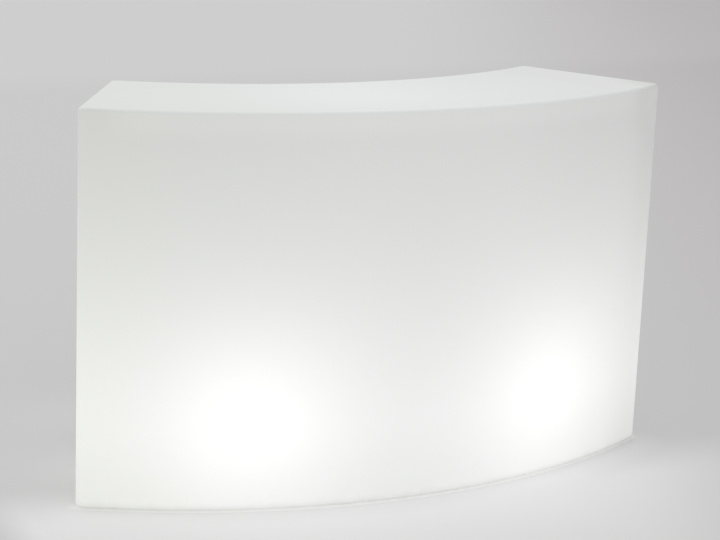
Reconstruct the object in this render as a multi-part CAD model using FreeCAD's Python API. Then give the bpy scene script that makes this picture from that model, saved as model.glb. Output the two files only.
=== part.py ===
"""Curved, lit bar counter module with two shelved bays, as separate pieces.

Six modules close a ring. The body is one rotationally moulded polyethylene skin, hollow inside,
whose two bays are formed by cores that draw straight out on the bartender's side.
Everything is built round the ring's vertical axis, with the customer's side towards -Y, and is
then moved so that the origin lies on the floor in the middle of the counter's box.
Lengths are in millimetres and angles in degrees. Left is -X, as the customer sees it.
"""
import FreeCAD
import Part
import math
import os

from FreeCAD import Vector

# Ring and body.
outer_radius = 1800.0
body_depth = 470.0
module_half_angle = 30.0
counter_height = 1100.0
ground_gap = 4.0
wall = 6.0
corner_radius = 20.0
edge_radius = 10.0
least_inner_radius = 1.0

# Bays. A post is what is left beside a bay's mouth, as far as the module's middle or end plane.
post_width = 54.0
bay_depth = 270.0
bay_draft_angle = 1.5
bay_floor_height = 92.0
top_depth = 78.0
bay_corner_radius = 40.0
bay_edge_radius = 20.0
mouth_rim_radius = 8.0

# Moulded ledges, and the shelves that lie on them.
lower_ledge_height = 400.0
upper_ledge_height = 710.0
ledge_reach = 24.0
ledge_nose = 12.0
ledge_setback = 26.0
shelf_thickness = 10.0
shelf_side_gap = 2.0
shelf_setback = 16.0
shelf_edge_chamfer = 1.5
shelf_screw_mouth_distance = 62.0
shelf_screw_back_distance = 82.0
shelf_screw_radius = 2.5
shelf_screw_length = 18.0
shelf_screw_head_radius = 5.0
shelf_insert_radius = 4.0
shelf_insert_length = 13.0
shelf_insert_end = 2.0
shelf_boss_wall = 3.0

# Light units, one in the back of each bay's lowest compartment.
lamp_above_bay_floor = 163.0
cover_radius = 80.0
cover_thickness = 4.0
cover_pocket_gap = 2.0
gasket_thickness = 2.0
port_radius = 60.0
port_gap = 2.0
port_rim_height = 6.0
port_rim_wall = 3.0
cover_bead_radius = 50.0
cover_bead_width = 6.0
cover_bead_height = 1.5
cover_rib_count = 8
cover_rib_thickness = 2.5
cover_rib_height = 4.0
holder_seat_wall = 2.5
cover_screw_circle_radius = 71.0
cover_screw_count = 4
cover_screw_radius = 2.0
cover_screw_length = 14.0
cover_screw_head_radius = 4.0
cover_screw_head_height = 2.6
cover_insert_radius = 3.5
cover_insert_length = 11.0
cover_insert_end = 1.5
cover_boss_wall = 3.5
holder_length = 50.0
holder_flange_radius = 26.0
holder_flange_thickness = 5.0
holder_neck_radius = 17.0
holder_wall = 6.0
holder_floor = 22.0
holder_taper_length = 4.0
holder_screw_offset = 22.5
holder_screw_radius = 1.5
holder_screw_head_height = 1.8
sleeve_radius = 14.0
sleeve_length = 25.0
sleeve_wall = 0.6
bulb_cap_gap = 0.2
bulb_contact_gap = 0.3
bulb_contact_radius = 4.0
bulb_contact_height = 2.0
bulb_insulator_height = 1.0
bulb_cap_shoulder = 4.0
bulb_cap_shoulder_height = 2.0
bulb_seat_gap = 1.0
bulb_radius = 30.0
bulb_length = 84.0
bulb_collar_step = 1.0
bulb_collar_height = 4.4
bulb_flare_step = 3.0
bulb_flare_height = 8.8
bulb_dome_height = 40.0
bulb_dome_wall = 1.5

# Levelling feet, screwed right in.
foot_front_inset = 62.0
foot_rear_inset = 62.0
foot_end_inset = 92.0
foot_pocket_gap = 4.0
foot_pad_radius = 25.0
foot_pad_height = 8.0
foot_pad_lift = 0.6
foot_hub_radius = 13.0
foot_hub_height = 17.0
foot_sole_thickness = 2.0
foot_sole_radius = 22.0
foot_floor = 3.0
foot_head_radius = 6.5
foot_head_height = 4.0
foot_neck_radius = 4.2
foot_running_gap = 0.3
foot_collar_radius = 9.8
foot_collar_height = 6.0
foot_stud_radius = 5.0
foot_travel = 12.0
foot_least_grip = 16.0
foot_insert_radius = 9.0
foot_insert_length = 38.0
foot_insert_end = 5.0
foot_boss_wall = 6.0

# Link inserts in the posts at the ends, for the brackets that join one module to the next.
lower_link_height = 160.0
upper_link_height = 950.0
link_end_inset = 27.0
link_insert_radius = 6.5
link_insert_length = 20.0
link_insert_end = 3.0
link_bore_radius = 4.0
link_boss_wall = 5.0

# Cable gland in the plinth, and the plug in the mould's vent hole underneath.
gland_height = 50.0
gland_thread_radius = 8.0
gland_nut_radius = 12.0
gland_seat_gap = 2.0
gland_flange_thickness = 5.0
gland_locknut_thickness = 5.0
gland_tail = 5.0
gland_cap_length = 15.0
gland_cap_wall = 2.5
gland_dome = 4.0
gland_seal_radius = 6.5
gland_seal_length = 10.0
cable_bore_radius = 4.0
plug_radius = 6.0
plug_head_radius = 9.0
plug_head_thickness = 2.0
plug_barb = 0.8
plug_barb_length = 4.0
plug_inset = 235.0

# Shared small sizes: loose holes, threads, recessed seats on curved skin, and turned edges.
hole_gap = 0.2
thread_gap = 0.05
seat_depth = 0.5
turned_edge = 1.0
overrun = 1.0

up = Vector(0, 0, 1)
down = Vector(0, 0, -1)
outward = Vector(0, -1, 0)
inward = Vector(0, 1, 0)
ring_centre = Vector(0, 0, 0)

half_angle_rad = math.radians(module_half_angle)
inner_radius = outer_radius - body_depth
bay_angle = module_half_angle / 2
bay_mouth_half_width = inner_radius * math.sin(math.radians(bay_angle)) - post_width
bay_back_radius = inner_radius + bay_depth
bay_ceiling_height = counter_height - top_depth
draft_slope = math.tan(math.radians(bay_draft_angle))
ledge_heights = {"lower": lower_ledge_height, "upper": upper_ledge_height}
link_heights = {"lower": lower_link_height, "upper": upper_link_height}

lamp_height = bay_floor_height + lamp_above_bay_floor
cover_back_radius = bay_back_radius + cover_thickness
seat_radius = cover_back_radius + gasket_thickness
seat_pocket_radius = cover_radius + cover_pocket_gap
holder_radius = sleeve_radius + holder_wall
bulb_start_radius = cover_back_radius + holder_length + bulb_seat_gap
bulb_cap_radius = sleeve_radius - sleeve_wall - bulb_cap_gap
bulb_cap_length = holder_length - holder_floor - sleeve_wall - bulb_contact_gap + bulb_seat_gap

foot_collar_low = foot_hub_height + foot_running_gap
foot_collar_high = foot_collar_low + foot_collar_height
foot_pocket_top = foot_collar_high + foot_running_gap
foot_pocket_radius = foot_pad_radius + foot_pocket_gap
foot_stud_length = foot_travel + foot_least_grip

# The ring's axis lies behind the counter, as far as puts the origin in the middle of its box.
rear_corner_centre = inner_radius + corner_radius
rear_reach = (math.sqrt(rear_corner_centre ** 2 - corner_radius ** 2) * math.cos(half_angle_rad)
              + corner_radius * (math.sin(half_angle_rad) - 1))
axis_offset = (outer_radius + rear_reach) / 2


def polar(radius, angle, height=0.0):
    """Point at a radius from the ring's axis, turned by an angle from the module's middle."""
    turn = math.radians(angle)
    return Vector(radius * math.sin(turn), -radius * math.cos(turn), height)


def turned_to(shape, angle):
    """Copy of a shape turned round the ring's axis."""
    copy = shape.copy()
    copy.rotate(ring_centre, up, angle)
    return copy


def in_both_bays(shape):
    return [turned_to(shape, -bay_angle), turned_to(shape, bay_angle)]


def arc(start, middle, end):
    return Part.Arc(start, middle, end).toShape()


def line(start, end):
    return Part.LineSegment(start, end).toShape()


def prism(wire, low, high):
    """Upright prism on a plan wire, from one height to another."""
    base = wire.copy()
    base.translate(up * low)
    return Part.Face(base).extrude(up * (high - low))


def cylinder(radius, start, direction, length):
    return Part.makeCylinder(radius, length, start, direction)


def placed(solid, start, direction):
    """Solid moved from the origin to a start point, its Z axis turned to the direction."""
    solid.Placement = FreeCAD.Placement(start, FreeCAD.Rotation(up, direction))
    return solid


def lathe(outline, start, direction):
    """Solid of revolution. The outline is pairs of radius and distance along the direction."""
    points = [Vector(radius, 0, distance) for radius, distance in outline]
    face = Part.Face(Part.makePolygon(points + [points[0]]))
    return placed(face.revolve(ring_centre, up, 360), start, direction)


def tube(bore_radius, radius, length, start, direction):
    outline = [(bore_radius, 0), (radius, 0), (radius, length), (bore_radius, length)]
    return lathe(outline, start, direction)


def blind_insert(bore_radius, radius, length, end, start, direction):
    """Threaded insert closed at its far end, with a plain bore in place of its thread."""
    floor = length - end
    outline = [(bore_radius, 0), (radius, 0), (radius, length), (0, length), (0, floor),
               (bore_radius, floor)]
    return lathe(outline, start, direction)


def hexagon(radius, start, direction, thickness):
    """Hexagonal prism, with the radius measured to its corners."""
    corners = [polar(radius, 60 * i) for i in range(6)]
    face = Part.Face(Part.makePolygon(corners + [corners[0]]))
    return placed(face.extrude(up * thickness), start, direction)


def pan_screw(head_radius, head_height, radius, length, start):
    """Pan-head screw driven outward, with its head's seat at the start point."""
    outline = [(0, -head_height), (head_radius * 0.7, -head_height), (head_radius, -head_height / 2),
               (head_radius, 0), (radius - thread_gap, 0), (radius - thread_gap, length), (0, length)]
    return lathe(outline, start, outward)


def upright_edges(shape):
    return [e for e in shape.Edges
            if len(e.Vertexes) == 2 and abs(abs(e.tangentAt(e.FirstParameter).z) - 1) < 1e-6]


def edges_at_height(shape, height):
    return [e for e in shape.Edges
            if abs(e.BoundBox.ZMin - height) < 1e-4 and abs(e.BoundBox.ZMax - height) < 1e-4]


# Body shell.

def body_form(inset):
    """Outer form of the body, moved in by the inset on every side."""
    outer, inner = outer_radius - inset, inner_radius + inset
    low, high = ground_gap + inset, counter_height - inset

    def corner(radius, side):
        along_end = polar(math.sqrt(radius ** 2 - inset ** 2), side * module_half_angle)
        return along_end + polar(inset, side * (module_half_angle - 90))

    plan = Part.Wire([
        arc(corner(outer, -1), polar(outer, 0), corner(outer, 1)),
        line(corner(outer, 1), corner(inner, 1)),
        arc(corner(inner, 1), polar(inner, 0), corner(inner, -1)),
        line(corner(inner, -1), corner(outer, -1)),
    ])
    solid = prism(plan, low, high)
    solid = solid.makeFillet(max(corner_radius - inset, least_inner_radius), upright_edges(solid))
    rims = edges_at_height(solid, low) + edges_at_height(solid, high)
    return solid.makeFillet(max(edge_radius - inset, least_inner_radius), rims)


def bay_side_x(inset, radius):
    """Half width of a bay at a distance from the ring's axis along the bay's middle line."""
    slant = math.cos(math.radians(bay_draft_angle))
    return bay_mouth_half_width - inset / slant - draft_slope * (radius - inner_radius)


def bay_corner_centre():
    """Middle of a bay's rounded back corner, as far from its side as from its back."""
    reach = bay_back_radius - bay_corner_radius
    start = bay_side_x(bay_corner_radius, 0)
    squared = 1 + draft_slope ** 2
    along = (start * draft_slope + math.sqrt(squared * reach ** 2 - start ** 2)) / squared
    return Vector(start - draft_slope * along, -along, 0)


def bay_plan(inset, mouth):
    """Plan of a bay moved in by the inset, out to a straight edge at the mouth's distance."""
    radius = bay_corner_radius - inset
    centre = bay_corner_centre()
    side_normal = polar(1, 90 - bay_draft_angle)
    back_normal = Vector(centre).normalize()
    middle_normal = (side_normal + back_normal).normalize()
    on_side, on_bend, on_back = (centre + normal * radius
                                 for normal in (side_normal, middle_normal, back_normal))
    at_mouth = Vector(bay_side_x(inset, mouth), -mouth, 0)

    def mirrored(point):
        return Vector(-point.x, point.y, point.z)

    return Part.Wire([
        line(at_mouth, on_side),
        arc(on_side, on_bend, on_back),
        arc(on_back, outward * (bay_back_radius - inset), mirrored(on_back)),
        arc(mirrored(on_back), mirrored(on_bend), mirrored(on_side)),
        line(mirrored(on_side), mirrored(at_mouth)),
        line(mirrored(at_mouth), at_mouth),
    ])


def ledge_ring(height, grow):
    """Ledge round a bay's sides and back with a sloping underside, thinned by the growth."""
    mouth = inner_radius - corner_radius
    beyond = grow + overrun
    nose_inset = ledge_reach - grow
    top = height - grow
    nose_low = height - ledge_nose + grow * (math.sqrt(2) - 1)
    foot_low = nose_low - nose_inset - beyond
    inner_plan, outer_plan = bay_plan(nose_inset, mouth), bay_plan(-beyond, mouth)
    low_wire, nose_wire = outer_plan.copy(), inner_plan.copy()
    low_wire.translate(up * foot_low)
    nose_wire.translate(up * nose_low)
    space_below = Part.makeLoft([low_wire, nose_wire], True, True)
    space_inside = prism(inner_plan, nose_low, top + overrun)
    space_in_front = cylinder(inner_radius + ledge_setback + grow, up * foot_low, up, top - foot_low)
    return prism(outer_plan, foot_low, top).cut([space_below, space_inside, space_in_front])


def bay_form(grow):
    """Space of one bay, grown by the thickness of the skin round it."""
    mouth = inner_radius - corner_radius * 2
    low, high = bay_floor_height - grow, bay_ceiling_height + grow
    space = prism(bay_plan(-grow, mouth), low, high)
    rims = [e for e in edges_at_height(space, low) + edges_at_height(space, high)
            if e.BoundBox.YMin < -inner_radius]
    space = space.makeFillet(bay_edge_radius + grow, rims)
    space = space.cut([ledge_ring(height, grow) for height in ledge_heights.values()])
    start_radius = bay_back_radius - ledge_reach * 2
    seat = cylinder(seat_pocket_radius + grow, on_lamp_axis(start_radius), outward,
                    seat_radius + grow - start_radius)
    return space.fuse(seat)


def mouth_edges(solid):
    """Edges where a bay opens on the bartender's side of the body."""
    found = []
    for edge in solid.Edges:
        middle = (edge.FirstParameter + edge.LastParameter) / 2
        places = [edge.valueAt(t) for t in (edge.FirstParameter, middle, edge.LastParameter)]
        on_rear_face = all(abs(math.hypot(p.x, p.y) - inner_radius) < 1e-3 for p in places)
        box = edge.BoundBox
        if (on_rear_face and box.ZMin > bay_floor_height - overrun
                and box.ZMax < bay_ceiling_height + overrun):
            found.append(edge)
    return found


def bay_with_round_mouth():
    """Space of one bay, flared where it meets the bartender's side of the body."""
    block = body_form(0.0)
    opened = block.cut(bay_form(0.0))
    return block.cut(opened.makeFillet(mouth_rim_radius, mouth_edges(opened)))


def moulded_skin():
    """Closed skin of one thickness all over: the outer form less the hollow inside it."""
    solid = body_form(0.0).cut(in_both_bays(bay_with_round_mouth()))
    hollow = body_form(wall).cut(in_both_bays(bay_form(wall)))
    return solid.cut(hollow)


def bay_seats():
    """Bosses round the inserts of one bay, and the holes that the inserts and the light fill."""
    bosses = []
    holes = [cylinder(port_radius, on_lamp_axis(seat_radius - overrun), outward, wall + overrun * 2)]
    for height in ledge_heights.values():
        for point in shelf_screw_points(height):
            bosses.append(cylinder(shelf_insert_radius + shelf_boss_wall, point, down,
                                   shelf_insert_length + shelf_boss_wall))
            holes.append(cylinder(shelf_insert_radius, point, down, shelf_insert_length))
    for point in cover_screw_points(seat_radius):
        bosses.append(cylinder(cover_insert_radius + cover_boss_wall, point, outward,
                               cover_insert_length + cover_boss_wall))
        holes.append(cylinder(cover_insert_radius, point, outward, cover_insert_length))
    return bosses, holes


def foot_seat(radius, angle):
    """Boss and hole of one foot: a round pocket in the underside, and its insert above."""
    skin_low = ground_gap + wall / 2
    skin = cylinder(foot_pocket_radius + wall, polar(radius, angle, skin_low), up,
                    foot_pocket_top + wall - skin_low)
    pocket = cylinder(foot_pocket_radius, polar(radius, angle), up, foot_pocket_top)
    top = polar(radius, angle, foot_pocket_top)
    boss = cylinder(foot_insert_radius + foot_boss_wall, top, up, foot_insert_length + foot_boss_wall)
    seat = cylinder(foot_insert_radius, top, up, foot_insert_length)
    return skin.fuse(boss), pocket.fuse(seat)


def link_seat(angle, height):
    """Boss and hole of one link insert, square to the end of its post."""
    direction = polar(1, angle)
    half_way = polar(inner_radius + wall / 2, angle, height)
    boss = cylinder(link_insert_radius + link_boss_wall, half_way, direction,
                    seat_depth + link_insert_length + link_boss_wall - wall / 2)
    hole = cylinder(link_insert_radius, polar(inner_radius - overrun, angle, height), direction,
                    overrun + seat_depth + link_insert_length)
    return boss, hole


def body_shell():
    """Moulded skin with every boss and hole in it."""
    bosses, holes = [], []
    bay_bosses, bay_holes = bay_seats()
    for boss in bay_bosses:
        bosses += in_both_bays(boss)
    for hole in bay_holes:
        holes += in_both_bays(hole)
    seats = [foot_seat(radius, angle) for radius, angle in foot_places().values()]
    seats += [link_seat(angle, height) for angle, height in link_places()]
    bosses += [boss for boss, hole in seats]
    holes += [hole for boss, hole in seats]
    holes.append(cylinder(gland_thread_radius, gland_point(overrun), outward, wall + overrun * 2))
    holes.append(cylinder(gland_nut_radius + gland_seat_gap, gland_point(wall), outward, wall))
    plug_foot = polar(inner_radius + plug_inset, 0)
    holes.append(cylinder(plug_radius, plug_foot, up, ground_gap + wall + overrun))
    holes.append(cylinder(plug_head_radius, plug_foot, up, ground_gap + plug_head_thickness))
    return moulded_skin().multiFuse(bosses).cut(holes)


# Shelves.

def shelf_screw_points(height):
    """Screw places of one shelf, along the middle of the side ledges."""
    radii = (inner_radius + shelf_screw_mouth_distance, bay_back_radius - shelf_screw_back_distance)
    return [Vector(side * bay_side_x(ledge_reach / 2, radius), -radius, height)
            for radius in radii for side in (-1, 1)]


def shelf(height):
    """Laminate shelf with a chamfered front edge that follows the ring, and holes for its screws."""
    high = height + shelf_thickness
    front_radius = inner_radius + shelf_setback
    bevel_radius = front_radius + shelf_edge_chamfer
    outline = [(front_radius, height + shelf_edge_chamfer), (bevel_radius, height),
               (bay_back_radius, height), (bay_back_radius, high), (bevel_radius, high),
               (front_radius, high - shelf_edge_chamfer)]
    ring = lathe(outline, ring_centre, up)
    panel = ring.common(prism(bay_plan(shelf_side_gap, inner_radius - corner_radius), height, high))
    return panel.cut([countersink(point) for point in shelf_screw_points(high)])


def countersink(point):
    """Hole for a countersunk screw, with its mouth at the point."""
    radius, mouth = shelf_screw_radius + hole_gap, shelf_screw_head_radius + hole_gap
    outline = [(0, 0), (mouth, 0), (radius, mouth - radius), (radius, shelf_thickness + overrun),
               (0, shelf_thickness + overrun)]
    return lathe(outline, point, down)


def shelf_screw(point):
    """Countersunk screw, its head just below the shelf's top."""
    radius = shelf_screw_radius - thread_gap
    head_low = hole_gap + shelf_screw_head_radius - shelf_screw_radius
    outline = [(0, hole_gap), (shelf_screw_head_radius, hole_gap), (radius, head_low),
               (radius, shelf_screw_length), (0, shelf_screw_length)]
    return lathe(outline, point, down)


def shelf_insert(point):
    return blind_insert(shelf_screw_radius, shelf_insert_radius, shelf_insert_length, shelf_insert_end,
                        point, down)


# Light units. Each stands on the bay's middle line, with its cover set into the bay's back.

def on_lamp_axis(radius):
    """Point of the lamp's axis at a distance from the ring's axis."""
    return Vector(0, -radius, lamp_height)


def cover_screw_points(distance):
    """Screw places of one light cover, at a distance from the ring's axis."""
    points = []
    for i in range(cover_screw_count):
        turn = math.radians(360 / cover_screw_count * (i + 0.5))
        points.append(Vector(cover_screw_circle_radius * math.cos(turn), -distance,
                             lamp_height + cover_screw_circle_radius * math.sin(turn)))
    return points


def holder_screw_points(distance):
    return [Vector(side * holder_screw_offset, -distance, lamp_height) for side in (-1, 1)]


def light_cover():
    """Round cover, beaded outside. Inside are a rim that drops into the port, a ring round the
    lampholder's flange, and ribs between the two.
    """
    rim_radius = port_radius - port_gap
    rim_inside = rim_radius - port_rim_wall
    rim_high = cover_thickness + port_rim_height
    bead_start, bead_end = cover_bead_radius - cover_bead_width / 2, cover_bead_radius + cover_bead_width / 2
    seat_inside = holder_flange_radius + hole_gap
    seat_outside = seat_inside + holder_seat_wall
    rib_high = cover_thickness + cover_rib_height
    outline = [(0, 0), (bead_start, 0), (bead_start + cover_bead_height, -cover_bead_height),
               (bead_end - cover_bead_height, -cover_bead_height), (bead_end, 0),
               (cover_radius - turned_edge, 0), (cover_radius, turned_edge),
               (cover_radius, cover_thickness), (rim_radius, cover_thickness), (rim_radius, rim_high),
               (rim_inside, rim_high), (rim_inside, cover_thickness),
               (seat_outside, cover_thickness), (seat_outside, rib_high),
               (seat_inside, rib_high), (seat_inside, cover_thickness), (0, cover_thickness)]
    rib_start = seat_inside + holder_seat_wall / 2
    rib_length = rim_inside + port_rim_wall / 2 - rib_start
    rib_corner = Vector(rib_start, -cover_rib_thickness / 2, cover_thickness / 2)
    rib = Part.makeBox(rib_length, cover_rib_thickness, rib_high - cover_thickness / 2, rib_corner)
    ribs = [turned_to(rib, 360 / cover_rib_count * i) for i in range(cover_rib_count)]
    plate = lathe(outline, ring_centre, up).multiFuse(ribs).removeSplitter()
    plate = placed(plate, on_lamp_axis(bay_back_radius), outward)
    holes = [cylinder(cover_screw_radius + hole_gap, point, outward, cover_thickness)
             for point in cover_screw_points(bay_back_radius)]
    holes += [cylinder(holder_screw_radius + hole_gap, point, outward, cover_thickness)
              for point in holder_screw_points(bay_back_radius)]
    return plate.cut(holes)


def cover_screws():
    return [pan_screw(cover_screw_head_radius, cover_screw_head_height, cover_screw_radius,
                      cover_screw_length, point) for point in cover_screw_points(bay_back_radius)]


def cover_inserts():
    return [blind_insert(cover_screw_radius, cover_insert_radius, cover_insert_length, cover_insert_end,
                         point, outward) for point in cover_screw_points(seat_radius)]


def light_gasket():
    """Flat ring pressed between the cover and its seat."""
    ring = tube(port_radius, cover_radius - turned_edge, gasket_thickness,
                on_lamp_axis(cover_back_radius), outward)
    return ring.cut([cylinder(cover_screw_radius + hole_gap, point, outward, gasket_thickness)
                     for point in cover_screw_points(cover_back_radius)])


def lampholder():
    """Screw lampholder: a flange on the cover, a narrower neck and a skirt round the sleeve."""
    outline = [(0, 0), (holder_flange_radius, 0), (holder_flange_radius, holder_flange_thickness),
               (holder_neck_radius, holder_flange_thickness + holder_taper_length),
               (holder_neck_radius, holder_floor - holder_taper_length), (holder_radius, holder_floor),
               (holder_radius, holder_length), (sleeve_radius, holder_length),
               (sleeve_radius, holder_floor), (0, holder_floor)]
    body = lathe(outline, on_lamp_axis(cover_back_radius), outward)
    holes = [cylinder(holder_screw_radius, point, outward, holder_flange_thickness + holder_taper_length)
             for point in holder_screw_points(cover_back_radius)]
    return body.cut(holes)


def lampholder_sleeve():
    """Metal cup that takes the bulb's cap, with its floor as the far contact."""
    inside = sleeve_radius - sleeve_wall
    outline = [(0, 0), (sleeve_radius, 0), (sleeve_radius, sleeve_length), (inside, sleeve_length),
               (inside, sleeve_wall), (0, sleeve_wall)]
    return lathe(outline, on_lamp_axis(cover_back_radius + holder_floor), outward)


def lampholder_screws():
    return [pan_screw(holder_screw_radius * 2, holder_screw_head_height, holder_screw_radius,
                      cover_thickness + holder_flange_thickness, point)
            for point in holder_screw_points(bay_back_radius)]


def bulb_cap():
    """Bulb's metal cap, stepped down over its insulator to the contact at its tip."""
    insulator_start = bulb_contact_height - bulb_cap_length
    shoulder_start = insulator_start + bulb_insulator_height
    outline = [(0, -bulb_cap_length), (bulb_contact_radius, -bulb_cap_length),
               (bulb_contact_radius + bulb_contact_height, insulator_start),
               (bulb_cap_radius - bulb_cap_shoulder, shoulder_start),
               (bulb_cap_radius, shoulder_start + bulb_cap_shoulder_height),
               (bulb_cap_radius, 0), (0, 0)]
    return lathe(outline, on_lamp_axis(bulb_start_radius), outward)


def bulb_housing():
    """Flared body between the bulb's cap and its dome."""
    length = bulb_length - bulb_dome_height
    collar_radius = bulb_cap_radius + bulb_collar_step
    outline = [(0, 0), (collar_radius, 0), (collar_radius + bulb_collar_step, bulb_collar_height),
               (bulb_radius - bulb_flare_step, length - bulb_flare_height), (bulb_radius, length),
               (0, length)]
    return lathe(outline, on_lamp_axis(bulb_start_radius), outward)


def bulb_dome():
    """Hollow opal dome: half a ball on a short round wall."""
    wall_height = bulb_dome_height - bulb_radius

    def filled(radius):
        ball = Part.makeSphere(radius, up * wall_height, up, 0, 90, 360)
        return ball.fuse(cylinder(radius, ring_centre, up, wall_height))

    dome = filled(bulb_radius).cut(filled(bulb_radius - bulb_dome_wall))
    return placed(dome, on_lamp_axis(bulb_start_radius + bulb_length - bulb_dome_height), outward)


# Levelling feet. Each stands on the floor and is screwed up against its insert.

def foot_places():
    """Radius and angle of each levelling foot, by name."""
    places = {}
    rows = {"front": outer_radius - foot_front_inset, "rear": inner_radius + foot_rear_inset}
    for row, radius in rows.items():
        end = module_half_angle - math.degrees(math.asin(foot_end_inset / radius))
        for column, angle in (("left", -end), ("middle", 0.0), ("right", end)):
            places[row + "_" + column] = (radius, angle)
    return places


def foot_pad(centre):
    """Moulded pad with a hub that traps the stud's head, and a recess for the sole."""
    head_hole, neck_hole = foot_head_radius + foot_running_gap, foot_neck_radius + foot_running_gap
    chamber_low = foot_sole_thickness + foot_floor
    chamber_high = chamber_low + foot_head_height + foot_running_gap * 2
    outline = [(0, foot_sole_thickness), (foot_sole_radius, foot_sole_thickness),
               (foot_sole_radius, foot_pad_lift), (foot_pad_radius - turned_edge, foot_pad_lift),
               (foot_pad_radius, foot_pad_lift + turned_edge),
               (foot_pad_radius, foot_pad_height - 2 * turned_edge),
               (foot_pad_radius - 2 * turned_edge, foot_pad_height),
               (foot_hub_radius + turned_edge, foot_pad_height + turned_edge),
               (foot_hub_radius, foot_pad_height + 2 * turned_edge),
               (foot_hub_radius, foot_hub_height - turned_edge),
               (foot_hub_radius - turned_edge, foot_hub_height),
               (neck_hole, foot_hub_height), (neck_hole, chamber_high), (head_hole, chamber_high),
               (head_hole, chamber_low), (0, chamber_low)]
    return lathe(outline, centre, up)


def foot_sole(centre):
    """Rubber disc that grips the floor."""
    outline = [(0, 0), (foot_sole_radius - foot_pad_lift, 0), (foot_sole_radius, foot_pad_lift),
               (foot_sole_radius, foot_sole_thickness), (0, foot_sole_thickness)]
    return lathe(outline, centre, up)


def foot_stud(centre):
    """Stud with a trapped head, a hexagonal collar and a plain shank in place of its thread."""
    head_low = foot_sole_thickness + foot_floor + foot_running_gap
    head_high = head_low + foot_head_height
    top = foot_collar_high + foot_stud_length
    shank = foot_stud_radius - thread_gap
    outline = [(0, head_low), (foot_head_radius, head_low), (foot_head_radius, head_high),
               (foot_neck_radius, head_high), (foot_neck_radius, foot_collar_low + turned_edge),
               (shank, foot_collar_low + turned_edge), (shank, top - turned_edge),
               (shank - turned_edge, top), (0, top)]
    collar = hexagon(foot_collar_radius, centre + up * foot_collar_low, up, foot_collar_height)
    return lathe(outline, centre, up).fuse(collar)


def foot_insert(centre):
    return blind_insert(foot_stud_radius, foot_insert_radius, foot_insert_length, foot_insert_end,
                        centre + up * foot_pocket_top, up)


# Link inserts, cable gland and vent plug.

def link_places():
    """Angle and height of each link insert in the posts at the ends."""
    end = module_half_angle - math.degrees(math.asin(link_end_inset / inner_radius))
    return [(angle, height) for angle in (-end, end) for height in link_heights.values()]


def link_insert(angle, height):
    return blind_insert(link_bore_radius, link_insert_radius, link_insert_length, link_insert_end,
                        polar(inner_radius + seat_depth, angle, height), polar(1, angle))


def gland_point(distance):
    """Point on the gland's axis, at a distance towards the bartender from its seat in the skin."""
    return Vector(0, distance - inner_radius - seat_depth, gland_height)


def gland_body():
    """Threaded tube through the skin, with a hexagonal flange outside it."""
    radius = gland_thread_radius - thread_gap
    tail = wall - seat_depth + gland_locknut_thickness + gland_tail
    shank = tube(gland_seal_radius, radius, tail, gland_point(0), outward)
    neck_length = gland_flange_thickness + gland_seal_length
    neck = tube(gland_seal_radius, radius, neck_length, gland_point(0), inward)
    flange = hexagon(gland_nut_radius, gland_point(0), inward, gland_flange_thickness)
    bore = cylinder(gland_seal_radius, gland_point(0), inward, gland_flange_thickness)
    return shank.multiFuse([neck, flange.cut(bore)]).removeSplitter()


def gland_seal():
    """Rubber sleeve that grips the mains cable."""
    return tube(cable_bore_radius, gland_seal_radius, gland_seal_length,
                gland_point(gland_flange_thickness), inward)


def gland_cap():
    """Domed nut that squeezes the rubber sleeve."""
    radius = gland_thread_radius + gland_cap_wall
    lip = gland_seal_length + foot_running_gap
    mouth = cable_bore_radius + turned_edge
    outline = [(gland_thread_radius, foot_running_gap), (radius, foot_running_gap),
               (radius, gland_cap_length - gland_dome), (radius - gland_cap_wall, gland_cap_length),
               (mouth, gland_cap_length), (mouth, lip), (gland_thread_radius, lip)]
    return lathe(outline, gland_point(gland_flange_thickness), inward)


def gland_locknut():
    start = gland_point(seat_depth - wall)
    nut = hexagon(gland_nut_radius, start, outward, gland_locknut_thickness)
    return nut.cut(cylinder(gland_thread_radius, start, outward, gland_locknut_thickness))


def vent_plug():
    """Snap plug that closes the mould's vent hole, with a barb above the skin."""
    head = plug_head_radius - foot_running_gap
    stem = plug_radius - hole_gap
    outline = [(0, foot_running_gap), (head, foot_running_gap), (head, plug_head_thickness),
               (stem, plug_head_thickness), (stem, wall), (plug_radius + plug_barb, wall + plug_barb),
               (stem, wall + plug_barb_length), (0, wall + plug_barb_length)]
    return lathe(outline, polar(inner_radius + plug_inset, 0, ground_gap), up)


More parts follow.
